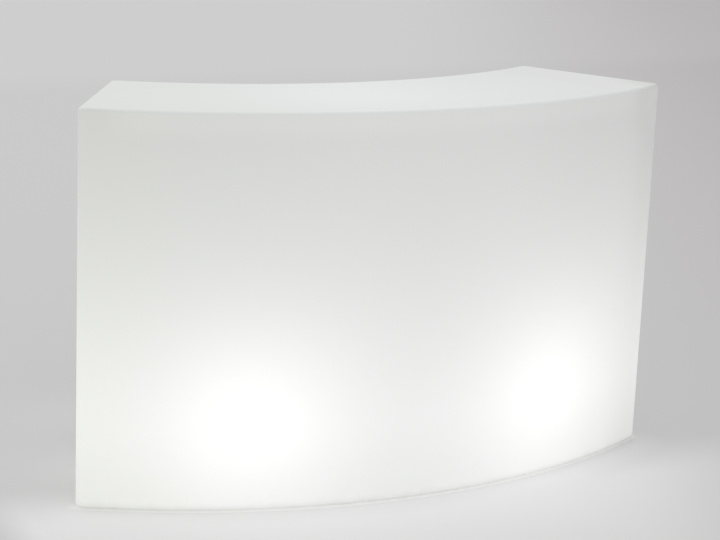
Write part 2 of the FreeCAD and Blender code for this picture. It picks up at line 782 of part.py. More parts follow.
def counter_pieces():
    """Every piece's name with its solids, built round the ring's axis."""
    pieces = {"body_shell": [body_shell()]}
    screws, inserts = [], []
    for level, height in ledge_heights.items():
        for side, panel in zip(("left", "right"), in_both_bays(shelf(height))):
            pieces["shelf_" + level + "_" + side] = [panel]
        for point in shelf_screw_points(height):
            screws += in_both_bays(shelf_screw(point + up * shelf_thickness))
            inserts += in_both_bays(shelf_insert(point))
    pieces["shelf_screws"] = screws
    pieces["shelf_inserts"] = inserts

    light_unit = {
        "light_cover": [light_cover()],
        "light_cover_screws": cover_screws(),
        "light_cover_inserts": cover_inserts(),
        "light_gasket": [light_gasket()],
        "lampholder": [lampholder()],
        "lampholder_sleeve": [lampholder_sleeve()],
        "lampholder_screws": lampholder_screws(),
        "bulb_cap": [bulb_cap()],
        "bulb_housing": [bulb_housing()],
        "bulb_dome": [bulb_dome()],
    }
    for name, solids in light_unit.items():
        pieces[name + "_left"] = [turned_to(solid, -bay_angle) for solid in solids]
        pieces[name + "_right"] = [turned_to(solid, bay_angle) for solid in solids]

    feet = {place: polar(*where) for place, where in foot_places().items()}
    for place, centre in feet.items():
        pieces["foot_pad_" + place] = [foot_pad(centre)]
        pieces["foot_sole_" + place] = [foot_sole(centre)]
        pieces["foot_stud_" + place] = [foot_stud(centre)]
    pieces["foot_inserts"] = [foot_insert(centre) for centre in feet.values()]
    pieces["link_inserts"] = [link_insert(angle, height) for angle, height in link_places()]
    pieces["gland_body"] = [gland_body()]
    pieces["gland_seal"] = [gland_seal()]
    pieces["gland_cap"] = [gland_cap()]
    pieces["gland_locknut"] = [gland_locknut()]
    pieces["vent_plug"] = [vent_plug()]
    return pieces


os.makedirs("parts", exist_ok=True)
for name, solids in counter_pieces().items():
    group = solids[0] if len(solids) == 1 else Part.makeCompound(solids)
    group.translate(Vector(0, axis_offset, 0))
    group.exportStep("parts/" + name + ".step")
    print(name, "solids", len(group.Solids), "valid", group.isValid(), "cm3", round(group.Volume / 1000, 1))
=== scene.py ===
# Curved bar counter, lit from inside: materials, small fittings, floor, light and camera.
import math
import bmesh
import bpy
from mathutils import Matrix, Vector


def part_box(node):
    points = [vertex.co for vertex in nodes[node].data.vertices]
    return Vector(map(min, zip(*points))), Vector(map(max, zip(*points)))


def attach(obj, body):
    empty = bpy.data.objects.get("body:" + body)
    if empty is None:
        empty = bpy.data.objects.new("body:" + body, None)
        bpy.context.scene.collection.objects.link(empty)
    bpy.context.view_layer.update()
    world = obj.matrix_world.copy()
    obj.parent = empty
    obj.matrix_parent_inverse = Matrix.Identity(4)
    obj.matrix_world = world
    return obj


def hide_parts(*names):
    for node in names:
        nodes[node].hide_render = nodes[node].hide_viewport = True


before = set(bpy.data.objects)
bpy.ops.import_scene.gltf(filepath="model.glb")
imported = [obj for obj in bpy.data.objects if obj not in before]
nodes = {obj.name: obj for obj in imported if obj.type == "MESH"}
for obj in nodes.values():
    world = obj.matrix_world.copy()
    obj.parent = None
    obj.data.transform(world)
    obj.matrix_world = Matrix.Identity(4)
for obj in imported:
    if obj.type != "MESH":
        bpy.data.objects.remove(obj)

sides = ("left", "right")
footPlaces = [f"{row}_{column}" for row in ("front", "rear") for column in ("left", "middle", "right")]
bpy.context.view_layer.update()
bpy.ops.object.select_all(action="DESELECT")
print("frame loaded:", len(nodes), "CAD nodes")


cameraView = {
    "place": (-2.5895, -5.1431, 2.0369),
    "yaw": 26.49,            # degrees to the right of straight ahead
    "pitch": 14.20,          # degrees down
    "roll": 2.316,
    "lens": 103.94,
    "sensor": 36.0,
    "sight": 100,            # metres that it sees
}


def makeCamera(values):
    yaw, pitch, roll = (math.radians(values[key]) for key in ("yaw", "pitch", "roll"))
    level = Vector((math.cos(yaw), -math.sin(yaw), 0))
    ahead = Vector((math.sin(yaw) * math.cos(pitch), math.cos(yaw) * math.cos(pitch), -math.sin(pitch)))
    upright = level.cross(ahead)
    right = level * math.cos(roll) + upright * math.sin(roll)
    top = upright * math.cos(roll) - level * math.sin(roll)
    bpy.ops.object.camera_add()
    camera = bpy.context.object
    turn = Matrix((right, top, -ahead)).transposed().to_4x4()
    camera.matrix_world = Matrix.Translation(values["place"]) @ turn
    camera.data.lens = values["lens"]
    camera.data.sensor_width = values["sensor"]
    camera.data.clip_end = values["sight"]
    bpy.context.scene.camera = camera


makeCamera(cameraView)
bpy.context.scene.view_settings.view_transform = "Standard"
print("camera placed")


def overload(operation):     # a maths operator on wires, and its form for a wire on the right
    def plain(wire, other):
        return wire.sum(operation, wire, other)

    def reflected(wire, other):
        return wire.sum(operation, other, wire)

    return plain, reflected


class Wire:                  # one output socket, on which sums are written as ordinary maths
    def __init__(self, sheet, socket):
        self.sheet = sheet
        self.socket = socket

    def sum(self, operation, *values):
        return self.sheet.add("ShaderNodeMath", {"operation": operation}, dict(enumerate(values)))

    __add__, __radd__ = overload("ADD")
    __sub__, __rsub__ = overload("SUBTRACT")
    __mul__, __rmul__ = overload("MULTIPLY")
    __truediv__, __rtruediv__ = overload("DIVIDE")
    __pow__, __rpow__ = overload("POWER")


class Sheet:                 # the node tree of a material or of the world
    def __init__(self, owner):
        self.owner = owner
        owner.use_nodes = True
        self.tree = owner.node_tree
        self.tree.nodes.clear()

    def add(self, kind, settings=None, values=None, output=0):
        node = self.tree.nodes.new(kind)
        for name, setting in (settings or {}).items():
            setattr(node, name, setting)
        for name, value in (values or {}).items():
            if isinstance(value, Wire):
                self.tree.links.new(value.socket, node.inputs[name])
            else:
                node.inputs[name].default_value = value
        return Wire(self, node.outputs[output]) if len(node.outputs) else None

    def axes(self):
        split = self.add("ShaderNodeSeparateXYZ", None, {"Vector": self.place})
        return [Wire(self, socket) for socket in split.socket.node.outputs]

    def combined(self, *parts):
        return self.add("ShaderNodeCombineXYZ", None, dict(enumerate(parts)))

    def vectors(self, operation, first, second, output=0):
        return self.add("ShaderNodeVectorMath", {"operation": operation}, {0: first, 1: second}, output)

    def distance(self, point):
        return self.vectors("DISTANCE", self.place, point, "Value")

    def brightened(self, colour, factor):
        return self.add("ShaderNodeVectorMath", {"operation": "SCALE"}, {0: colour, "Scale": factor})

    def mixColour(self, factor, first, second):      # a Mix node's colour sockets are 6 and 7, out at 2
        return self.add("ShaderNodeMix", {"data_type": "RGBA"}, {0: factor, 6: first, 7: second}, 2)

    def ramp(self, factor, low, high):               # 0 below low, 1 above high, with soft ends
        return self.add("ShaderNodeMapRange", {"interpolation_type": "SMOOTHSTEP"},
                        {"Value": factor, "From Min": low, "From Max": high})

    def noise(self, scale, detail, roughness, stretch=None):
        place = self.vectors("MULTIPLY", self.place, stretch) if stretch else self.place
        return self.add("ShaderNodeTexNoise", None,
                        {"Vector": place, "Scale": scale, "Detail": detail, "Roughness": roughness})

    def patches(self, shape):                        # noise of which only the highest spots are left
        return self.ramp(self.noise(*shape["noise"]), *shape["range"])

    def bump(self, height, strength, depth):
        return self.add("ShaderNodeBump", None, {"Height": height, "Strength": strength, "Distance": depth})

    def surface(self, **values):                     # constants go straight on the shader's own sockets
        shader = self.add("ShaderNodeBsdfPrincipled", None,
                          {name.replace("_", " "): value for name, value in values.items()})
        self.add("ShaderNodeOutputMaterial", None, {"Surface": shader})
        return self.owner


def newMaterial(name):
    sheet = Sheet(bpy.data.materials.new(name))
    sheet.place = sheet.add("ShaderNodeTexCoord", output="Object")
    return sheet


def grey(level):
    return (level, level, level, 1)


def dress(material, *names):                     # gives CAD nodes a finish in place of their plain one
    for name in names:
        for slot in nodes[name].material_slots:
            slot.material = material


# The counter is part of a ring, and the two lamps stand on it. Angles are from the middle, in degrees.
ring = {"axis": 1.4795, "endAngle": 30, "lampRadius": 1.70, "lampHeight": 0.255, "lampAngle": 15}
lampAngles = {"left": -ring["lampAngle"], "right": ring["lampAngle"]}


def onRing(radius, angle, height, across=0.0):
    turn = math.radians(angle)
    outward = Vector((math.sin(turn), -math.cos(turn), 0))
    sideways = Vector((math.cos(turn), math.sin(turn), 0))
    return Vector((0, ring["axis"], height)) + outward * radius + sideways * across


def ringRadius(sheet):
    level = sheet.vectors("MULTIPLY", sheet.place, (1, 1, 0))
    return sheet.vectors("DISTANCE", level, (0, ring["axis"], 0), "Value")


def fromEndPlane(sheet, side):                   # distance in from the plane of one end: -1 left, 1 right
    x, y = sheet.axes()[:2]
    turn = math.radians(ring["endAngle"])
    return (ring["axis"] - y) * math.sin(turn) - x * (side * math.cos(turn))


def betweenEnds(sheet, light, low, high):        # the light, fading out towards the planes of both ends
    for side in (-1, 1):
        light = light * sheet.ramp(fromEndPlane(sheet, side), low, high)
    return light


def lobe(sheet, shape, place=None):              # soft patch of light round a place
    ratio = sheet.distance(shape["place"] if place is None else place) / shape["reach"]
    return shape["peak"] / (1 + ratio * ratio) ** shape["fall"]


bodyLook = {
    "skin": (0.748, 0.757, 0.745, 1),
    "skinLeft": (0.744, 0.754, 0.722, 1),        # the resin is a little yellower at the left end
    "leftRange": (-0.85, -0.15),
    "edgeShade": (0.560, 0.562, 0.548, 1),        # painted shade on the turned edge above the front and on the top's far tip
    "rim": {"radius": (1.786, 1.799), "height": (1.088, 1.097), "depth": 0.55},
    "tip": {"radius": (1.62, 1.80), "width": 0.12, "depth": 0.50},
    "dust": (0.640, 0.630, 0.600, 1),
    "dustHeight": (0.004, 0.045),
    "grime": {"noise": (22, 5, 0.62), "range": (0.42, 0.72), "colour": 0.30, "roughness": 0.15},
    "rub": {"noise": (34, 6, 0.7), "range": (0.56, 0.74), "roughness": 0.08},
    "scuffs": {"noise": (60, 4, 0.6, (0.5, 0.5, 3)), "range": (0.66, 0.72), "roughness": 0.10},
    "roughness": 0.42,
    "peel": {"noise": (260, 2, 0.5), "height": 0.15},     # the mould's blasted grain
    "waves": (14, 2, 0.4),                       # slow ripple where the skin has drawn back from the mould
    "bump": {"strength": 0.25, "depth": 0.0008},
    "refraction": 1.5,
    "shine": 0.35,
    "base": -0.119,                              # from here on, the light that the lamps make in the skin, and painted shade cut from it
    "rise": -0.017,                              # per metre of height
    "near": {"peak": 0.0485, "reach": 0.954, "fall": 0.224},
    "wide": {"peak": 0.4035, "reach": 0.300, "fall": 1.087},
    "beyond": {-45: 1.63, 45: 2.50},             # thrown back by the ends, as if from more lamps
    "above": {"place": (-0.103, -0.041, 1.10), "peak": 0.0602, "reach": 0.387, "fall": 1.5},
    "frontTop": {"radius": (1.790, 1.797), "end": (0.05, 0.16), "height": (1.01, 1.075), "gain": 0.028,
                 "across": (-0.05, 0.35), "acrossHeight": (0.30, 1.02), "acrossGain": 0.020},
    # painted shade: less glow towards the right-hand end and beside its end face
    "farEndShade": {"across": (0.04, 1.32), "depth": 0.058},
    "farEdgeShade": {"width": 0.23, "depth": 0.061, "ease": 0.5, "low": (0.30, 0.85), "high": (0.95, 1.09)},
    "lowShade": {"height": 0.262, "depth": 0.044},
    "bay": {"radius": (1.612, 1.640), "end": (0.030, 0.052), "low": (0.060, 0.088), "high": (1.026, 1.050),
            "loss": 0.48},
    "cloud": {"noise": (3.2, 3, 0.55), "middle": 0.5, "depth": 0.04},
    # painted shade: the glow is cut near the floor
    "foot": {"height": (0.003, 0.028), "loss": 0.42},
    "least": 0.03,
    "glowNear": (1.0, 1.0, 0.992, 1),
    "glowFar": (0.985, 1.015, 0.975, 1),
    "nearRange": (0.05, 0.25),                   # the brightness at which one tint turns into the other
    "glowTop": (0.880, 1.000, 1.020, 1),
    "topRange": (1.085, 1.098),
}


def frontTopGlow(sheet, values):                 # from the lit top, passed down the front's upper edge
    x, _, z = sheet.axes()
    band = sheet.ramp(z, *values["height"]) * values["gain"]
    across = sheet.ramp(z, *values["acrossHeight"]) * sheet.ramp(x, *values["across"])
    band = (band + across * values["acrossGain"]) * sheet.ramp(ringRadius(sheet), *values["radius"])
    return betweenEnds(sheet, band, *values["end"])


def insideBays(sheet, values):                   # 1 on the walls of the open bays, 0 elsewhere
    height = sheet.axes()[2]
    inside = (1 - sheet.ramp(ringRadius(sheet), *values["radius"])) * sheet.ramp(height, *values["low"])
    inside = inside * (1 - sheet.ramp(height, *values["high"]))
    return betweenEnds(sheet, inside, *values["end"])


def bodyGlow(sheet, values):
    x, _, z = sheet.axes()
    lamps = [onRing(ring["lampRadius"], angle, ring["lampHeight"]) for angle in lampAngles.values()]
    near = lobe(sheet, values["wide"], lamps[0]) + lobe(sheet, values["wide"], lamps[1])
    glow = near + values["base"] + z * values["rise"]
    for lamp in lamps:
        glow = glow + lobe(sheet, values["near"], lamp)
    for angle, share in values["beyond"].items():
        lamp = onRing(ring["lampRadius"], angle, ring["lampHeight"])
        glow = glow + lobe(sheet, values["wide"], lamp) * share
    glow = glow + lobe(sheet, values["above"])   # thrown up between the bays
    glow = glow + frontTopGlow(sheet, values["frontTop"])

    farEndShade, farEdgeShade, lowShade = values["farEndShade"], values["farEdgeShade"], values["lowShade"]
    # painted shade: the glow is cut towards the right-hand end and beside its end face
    glow = glow - sheet.ramp(x, *farEndShade["across"]) * farEndShade["depth"]
    eased = 1 - sheet.ramp(z, *farEdgeShade["low"]) * (1 - sheet.ramp(z, *farEdgeShade["high"])) * farEdgeShade["ease"]
    besideEnd = 1 - sheet.ramp(fromEndPlane(sheet, 1), 0, farEdgeShade["width"])
    glow = glow - besideEnd * eased * farEdgeShade["depth"]
    glow = glow - (1 - sheet.ramp(z, 0, lowShade["height"])) * lowShade["depth"]

    bay, cloud, foot = values["bay"], values["cloud"], values["foot"]
    glow = glow * (1 - insideBays(sheet, bay) * bay["loss"])
    uneven = sheet.noise(*cloud["noise"]) - cloud["middle"]      # wall thickness, a hand's width across
    glow = glow * (1 + uneven * cloud["depth"])
    # painted shade: the glow falls off in the lowest 3 cm above the floor
    glow = glow * (1 - foot["loss"] + sheet.ramp(z, *foot["height"]) * foot["loss"])

    tint = sheet.mixColour(sheet.ramp(near, *values["nearRange"]), values["glowFar"], values["glowNear"])
    tint = sheet.mixColour(sheet.ramp(z, *values["topRange"]), tint, values["glowTop"])
    return sheet.brightened(tint, glow.sum("MAXIMUM", glow, values["least"]))


def bodySkinWithEdgeShade(sheet, values):
    x, _, z = sheet.axes()
    leftward = 1 - sheet.ramp(x, *values["leftRange"])
    skin = sheet.mixColour(leftward, values["skin"], values["skinLeft"])
    # painted shade: the front's upper rounding and the top's far tip are darkened in the base colour
    rim, tip, radius = values["rim"], values["tip"], ringRadius(sheet)
    corner = 1 - sheet.ramp(fromEndPlane(sheet, 1), 0, tip["width"])
    corner = sheet.ramp(radius, *tip["radius"]) * corner * tip["depth"]
    edge = sheet.ramp(z, *rim["height"]) * (sheet.ramp(radius, *rim["radius"]) * rim["depth"] + corner)
    return sheet.mixColour(edge, skin, values["edgeShade"])


def bodyMaterial(values):
    sheet = newMaterial("polyethyleneLit")
    grime = sheet.patches(values["grime"]) * (1 - sheet.ramp(sheet.axes()[2], *values["dustHeight"]))
    rub, scuffs = sheet.patches(values["rub"]), sheet.patches(values["scuffs"])
    roughness = values["roughness"] + rub * values["rub"]["roughness"]
    roughness = roughness + scuffs * values["scuffs"]["roughness"] + grime * values["grime"]["roughness"]
    relief = sheet.noise(*values["peel"]["noise"]) * values["peel"]["height"] + sheet.noise(*values["waves"])
    dusted = sheet.mixColour(grime * values["grime"]["colour"], bodySkinWithEdgeShade(sheet, values), values["dust"])
    return sheet.surface(Base_Color=dusted, Roughness=roughness, Normal=sheet.bump(relief, **values["bump"]),
                         Emission_Color=bodyGlow(sheet, values), Emission_Strength=1.0,
                         IOR=values["refraction"], Specular_IOR_Level=values["shine"])


dress(bodyMaterial(bodyLook), "body_shell")
print("body dressed")


shelfLook = {
    "face": (0.800, 0.800, 0.785, 1),
    "rubbed": (0.735, 0.732, 0.715, 1),
    "core": (0.030, 0.028, 0.027, 1),
    "coreBand": (0.060, 0.054, 0.050, 1),
    "levels": (0.405, 0.715),                    # middle of each shelf's thickness
    "halfCore": (0.0041, 0.0043),                # from that middle, where the dark core ends
    "layers": {"noise": (4, 3, 0.6, (1, 1, 900)), "height": 2},        # pressed papers of the core
    "suede": (900, 2, 0.5),
    "rub": {"noise": (9, 5, 0.65), "range": (0.48, 0.66), "colour": 0.35, "roughness": 0.10},
    "scratches": {"noise": (120, 3, 0.6, (1, 0.05, 1)), "range": (0.68, 0.74), "colour": 0.25,
                  "roughness": 0.08},
    "roughness": 0.38,
    "coreRoughness": 0.16,
    "bump": {"strength": 0.20, "depth": 0.0002},
    "shine": 0.45,
}


def shelfMaterial(values):
    sheet = newMaterial("laminateSheet")
    height = sheet.axes()[2]
    lower, upper = (height.sum("ABSOLUTE", height - level) for level in values["levels"])
    core = 1 - sheet.ramp(lower.sum("MINIMUM", lower, upper), *values["halfCore"])
    layers = sheet.noise(*values["layers"]["noise"])
    rub, scratches = sheet.patches(values["rub"]), sheet.patches(values["scratches"])
    worn = rub * values["rub"]["colour"] + scratches * values["scratches"]["colour"]
    face = sheet.mixColour(worn, values["face"], values["rubbed"])
    edge = sheet.mixColour(layers, values["core"], values["coreBand"])
    roughness = values["roughness"] + rub * values["rub"]["roughness"] + core * values["coreRoughness"]
    relief = sheet.noise(*values["suede"]) + layers * core * values["layers"]["height"]
    return sheet.surface(Base_Color=sheet.mixColour(core, face, edge),
                         Roughness=roughness - scratches * values["scratches"]["roughness"],
                         Normal=sheet.bump(relief, **values["bump"]), Specular_IOR_Level=values["shine"])


dress(shelfMaterial(shelfLook), *(f"shelf_{level}_{side}" for level in ("lower", "upper") for side in sides))


# Moulded plastics and rubbers differ in colour, grain size and how patchy they are. Their marks are alike.
mouldedMarks = {
    "patches": {"noise": (40, 5, 0.65), "range": (0.44, 0.70), "colour": 0.55, "roughness": 0.10},
    "flow": {"noise": (18, 3, 0.5, (1, 1, 4)), "colour": 0.15, "height": 0.3},    # of plastic in the mould
    "scuffs": {"noise": (240, 4, 0.7, (1, 1, 0.2)), "range": (0.66, 0.74), "colour": 0.30, "roughness": 0.06},
    "grain": (2, 0.5),
    "strength": 0.45,
}
mouldedLooks = {
    "coverPlastic": {"colour": (0.600, 0.612, 0.620, 1), "patch": (0.520, 0.525, 0.525, 1), "grain": 420,
                     "depth": 0.0003, "roughness": 0.44, "shine": 0.40,
                     "nodes": ["light_cover_left", "light_cover_right"]},
    "holderPlastic": {"colour": (0.840, 0.830, 0.800, 1), "patch": (0.760, 0.720, 0.640, 1), "grain": 150,
                      "depth": 0.0001, "roughness": 0.22, "shine": 0.50,
                      "nodes": ["lampholder_left", "lampholder_right"]},
    "bulbPlastic": {"colour": (0.860, 0.860, 0.840, 1), "patch": (0.800, 0.795, 0.770, 1), "grain": 200,
                    "depth": 0.0001, "roughness": 0.30, "shine": 0.45,
                    "nodes": ["bulb_housing_left", "bulb_housing_right"]},
    "glandNylon": {"colour": (0.740, 0.740, 0.730, 1), "patch": (0.640, 0.638, 0.620, 1), "grain": 500,
                   "depth": 0.0002, "roughness": 0.40, "shine": 0.45,
                   "nodes": ["gland_body", "gland_cap", "gland_locknut", "vent_plug"]},
    "footNylon": {"colour": (0.030, 0.030, 0.032, 1), "patch": (0.075, 0.073, 0.070, 1), "grain": 700,
                  "depth": 0.0003, "roughness": 0.48, "shine": 0.45,
                  "nodes": [f"foot_pad_{place}" for place in footPlaces]},
    "soleRubber": {"colour": (0.022, 0.022, 0.022, 1), "patch": (0.085, 0.082, 0.078, 1), "grain": 900,
                   "depth": 0.0002, "roughness": 0.78, "shine": 0.25,
                   "nodes": ["gland_seal"] + [f"foot_sole_{place}" for place in footPlaces]},
    "gasketFoam": {"colour": (0.110, 0.110, 0.114, 1), "patch": (0.060, 0.060, 0.062, 1), "grain": 1600,
                   "depth": 0.0006, "roughness": 0.90, "shine": 0.15,
                   "nodes": ["light_gasket_left", "light_gasket_right"]},
}


def mouldedMaterial(name, values, marks):
    sheet = newMaterial(name)
    patches, scuffs = sheet.patches(marks["patches"]), sheet.patches(marks["scuffs"])
    flow = sheet.noise(*marks["flow"]["noise"])
    grain = sheet.noise(values["grain"], *marks["grain"])
    mark = patches * marks["patches"]["colour"] + flow * marks["flow"]["colour"]
    mark = mark + scuffs * marks["scuffs"]["colour"]
    roughness = values["roughness"] + patches * marks["patches"]["roughness"]
    relief = grain + flow * marks["flow"]["height"]
    return sheet.surface(Base_Color=sheet.mixColour(mark, values["colour"], values["patch"]),
                         Roughness=roughness - scuffs * marks["scuffs"]["roughness"],
                         Normal=sheet.bump(relief, marks["strength"], values["depth"]),
                         Specular_IOR_Level=values["shine"])


finishes = {}
for name, values in mouldedLooks.items():
    finishes[name] = mouldedMaterial(name, values, mouldedMarks)
    dress(finishes[name], *values["nodes"])


# Metals differ in colour and in the way that their streaks run.
metalMarks = {
    "streaks": {"noise": (160, 3, 0.6), "colour": 0.2, "roughness": 0.10},
    "stains": {"noise": (130, 5, 0.6), "range": (0.50, 0.72), "colour": 0.6, "roughness": 0.16},
    "grain": {"noise": (1400, 2, 0.5), "height": 0.4},
    "bump": {"strength": 0.25, "depth": 0.0001},
}
metalLooks = {
    "stainlessSteel": {"colour": (0.560, 0.560, 0.555, 1), "stain": (0.430, 0.425, 0.410, 1),
                       "stretch": (1, 1, 30), "roughness": 0.26, "nodes": []},
    "zincPlate": {"colour": (0.520, 0.535, 0.555, 1), "stain": (0.560, 0.530, 0.440, 1),
                  "stretch": (1, 1, 6), "roughness": 0.34, "nodes": []},
    "turnedBrass": {"colour": (0.640, 0.450, 0.180, 1), "stain": (0.400, 0.260, 0.110, 1),
                    "stretch": (1, 1, 40), "roughness": 0.30,
                    "nodes": ["shelf_inserts", "foot_inserts", "link_inserts",
                              "light_cover_inserts_left", "light_cover_inserts_right"]},
    "nickelPlate": {"colour": (0.620, 0.600, 0.560, 1), "stain": (0.470, 0.440, 0.390, 1),
                    "stretch": (20, 20, 1), "roughness": 0.22,
                    "nodes": [f"{piece}_{side}" for piece in ("bulb_cap", "lampholder_sleeve")
                              for side in sides]},
}


def metalMaterial(name, values, marks):
    sheet = newMaterial(name)
    streaks = sheet.noise(*marks["streaks"]["noise"], values["stretch"])
    stains = sheet.patches(marks["stains"])
    grain = sheet.noise(*marks["grain"]["noise"]) * marks["grain"]["height"]
    mark = stains * marks["stains"]["colour"] + streaks * marks["streaks"]["colour"]
    roughness = values["roughness"] + stains * marks["stains"]["roughness"]
    return sheet.surface(Base_Color=sheet.mixColour(mark, values["colour"], values["stain"]), Metallic=1.0,
                         Roughness=roughness + streaks * marks["streaks"]["roughness"],
                         Normal=sheet.bump(streaks + grain, **marks["bump"]))


for name, values in metalLooks.items():
    finishes[name] = metalMaterial(name, values, metalMarks)
    dress(finishes[name], *values["nodes"])


domeLook = {
    "colour": (0.850, 0.840, 0.800, 1),
    "hot": (1.0, 0.975, 0.920, 1),
    "rim": (0.780, 0.730, 0.640, 1),
    "chipRadius": 1.757,                         # on the ring
    "dimRange": (0.010, 0.045),                  # the dome is brightest over the chips
    "dimming": 0.35,
    "tintRange": (0.02, 0.045),
    "speckle": {"noise": (300, 3, 0.5), "colour": 0.2, "roughness": 0.06},
    "roughness": 0.30,
    "bump": {"strength": 0.2, "depth": 0.0001},
}


def domeMaterial(values, side):
    sheet = newMaterial(f"opalDiffuser_{side}")
    fromChips = sheet.distance(onRing(values["chipRadius"], lampAngles[side], ring["lampHeight"]))
    glow = 1 - sheet.ramp(fromChips, *values["dimRange"]) * values["dimming"]
    tint = sheet.mixColour(sheet.ramp(fromChips, *values["tintRange"]), values["hot"], values["rim"])
    speckle = sheet.noise(*values["speckle"]["noise"])
    return sheet.surface(
        Base_Color=sheet.mixColour(speckle * values["speckle"]["colour"], values["colour"], values["rim"]),
        Roughness=values["roughness"] + speckle * values["speckle"]["roughness"],
        Emission_Color=sheet.brightened(tint, glow), Emission_Strength=1.0,
        Normal=sheet.bump(speckle, **values["bump"]))


for side in sides:
    dress(domeMaterial(domeLook, side), f"bulb_dome_{side}")
print("shelves, lamps and fittings dressed")


# Small turned pieces: a primitive, drawn out in edit mode, with its cuts and threads added by modifiers.

def select(*pieces):                             # these pieces and no others, the first one active
    bpy.ops.object.select_all(action="DESELECT")
    for piece in pieces:
        piece.select_set(True)
    if pieces:
        bpy.context.view_layer.objects.active = pieces[0]


def pick(piece, kind, test):                     # in edit mode: selects the faces or edges that pass the test
    bpy.ops.mesh.select_mode(type={"faces": "FACE", "edges": "EDGE"}[kind])
    bpy.ops.mesh.select_all(action="DESELECT")
    mesh = bmesh.from_edit_mesh(piece.data)
    for part in getattr(mesh, kind):
        if test(part):
            part.select_set(True)
    bmesh.update_edit_mesh(piece.data)


def facesDown(face):
    return face.normal.z < -0.9


def placed():                                    # the new primitive, with its place in its mesh
    bpy.ops.object.transform_apply(location=True, rotation=True, scale=True)
    return bpy.context.object


def rod(vertices, radius, low, high, across=0):
    select()
    bpy.ops.mesh.primitive_cylinder_add(vertices=vertices, radius=radius, depth=high - low,
                                        location=(across, 0, (high + low) / 2))
    return placed()


def turned(name, steps, vertices=32):            # round piece, drawn down through steps of (radius, height)
    (radius, high), (second, low) = steps[:2]
    piece = rod(vertices, radius, low, high)
    piece.name = name
    bpy.ops.object.mode_set(mode="EDIT")
    pick(piece, "faces", facesDown)
    if second != radius:
        bpy.ops.transform.resize(value=(second / radius, second / radius, 1))
    for (before, above), (after, below) in zip(steps[1:], steps[2:]):
        bpy.ops.mesh.extrude_region_move(TRANSFORM_OT_translate={"value": (0, 0, below - above)})
        if after != before:
            bpy.ops.transform.resize(value=(after / before, after / before, 1))
    bpy.ops.mesh.select_all(action="SELECT")
    bpy.ops.mesh.normals_make_consistent(inside=False)
    bpy.ops.object.mode_set(mode="OBJECT")
    return piece


def applyModifier(piece, kind, **settings):
    select(piece)
    bpy.ops.object.modifier_add(type=kind)
    modifier = piece.modifiers[-1]
    for name, value in settings.items():
        setattr(modifier, name, value)
    bpy.ops.object.modifier_apply(modifier=modifier.name)


def cutWith(piece, cutter, operation="DIFFERENCE"):
    applyModifier(piece, "BOOLEAN", operation=operation, object=cutter, solver="EXACT")


def discard(piece):
    select(piece)
    bpy.ops.object.delete()


recessTaper = (0.35, 0.7)                        # what is left of its width and breadth at the lower end


def crossRecess(piece, values, top):             # one tapered blade, cut in twice with its lower half
    select()
    bpy.ops.mesh.primitive_cube_add(size=1, location=(0, 0, top))
    blade = bpy.context.object
    blade.scale = (values["width"], values["breadth"], values["depth"] * 2)
    placed()
    bpy.ops.object.mode_set(mode="EDIT")
    pick(blade, "faces", facesDown)
    bpy.ops.transform.resize(value=(*recessTaper, 1))
    bpy.ops.object.mode_set(mode="OBJECT")
    cutWith(piece, blade)
    blade.rotation_euler.z = math.pi / 2
    bpy.context.view_layer.update()
    cutWith(piece, blade)
    discard(blade)


# A thread's ridge starts a little inside the core. Its foot is a share of the pitch, its crest of the foot.
ridgeForm = {"buried": 0.2, "foot": 0.84, "crest": 0.16, "weld": 0.000001}


def threadRidge(values, high):                   # helical ridge that starts at a height and runs down
    core, pitch, depth = values["core"], values["pitch"], values["crest"] - values["core"]
    middle = core + depth / 2
    select()
    bpy.ops.mesh.primitive_plane_add(size=1, rotation=(math.pi / 2, 0, 0),
                                     location=(middle - depth * ridgeForm["buried"] / 2, 0, high - pitch / 2))
    ridge = bpy.context.object
    ridge.scale = (depth * (1 + ridgeForm["buried"]), pitch * ridgeForm["foot"], 1)
    placed()
    bpy.ops.object.mode_set(mode="EDIT")
    pick(ridge, "edges", lambda edge: min(vert.co.x for vert in edge.verts) > middle)
    bpy.ops.transform.resize(value=(1, 1, ridgeForm["crest"]))
    bpy.ops.object.mode_set(mode="OBJECT")
    applyModifier(ridge, "SCREW", axis="Z", angle=-math.tau, screw_offset=-pitch, iterations=values["turns"],
                  steps=values["threadSteps"], render_steps=values["threadSteps"],
                  use_merge_vertices=False, use_smooth_shade=False)
    bpy.ops.object.mode_set(mode="EDIT")
    bpy.ops.mesh.select_all(action="SELECT")
    bpy.ops.mesh.remove_doubles(threshold=ridgeForm["weld"])
    bpy.ops.mesh.select_all(action="SELECT")
    bpy.ops.mesh.fill_holes(sides=4)             # the ridge's two ends
    bpy.ops.mesh.select_all(action="SELECT")
    bpy.ops.mesh.normals_make_consistent(inside=False)
    bpy.ops.object.mode_set(mode="OBJECT")
    return ridge


def joined(name, pieces):
    select(*pieces)
    bpy.ops.object.join()
    pieces[0].name = name
    return pieces[0]


def copied(pattern, places):                     # one copy of the pattern at each (place, rotation)
    copies = []
    for place, rotation in places:
        select(pattern)
        bpy.ops.object.duplicate(linked=False)
        copy = bpy.context.object
        copy.location = place
        copy.rotation_euler = rotation
        copies.append(placed())
    return copies


def finished(piece, finish, body, node, smoothAngle=32):
    select(piece)
    bpy.ops.object.shade_smooth_by_angle(angle=math.radians(smoothAngle))
    piece.data.materials.clear()
    piece.data.materials.append(finishes[finish])
    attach(piece, body)
    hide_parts(node)


def shankSteps(values, under):                   # plain neck, cone down to the thread's core, chamfered tip
    core, end = values["core"], -values["length"]
    return [(values["crest"], under - values["neck"]), (core, under - values["threadStart"]),
            (core, end + values["tip"]), (core * values["tipShare"], end)]


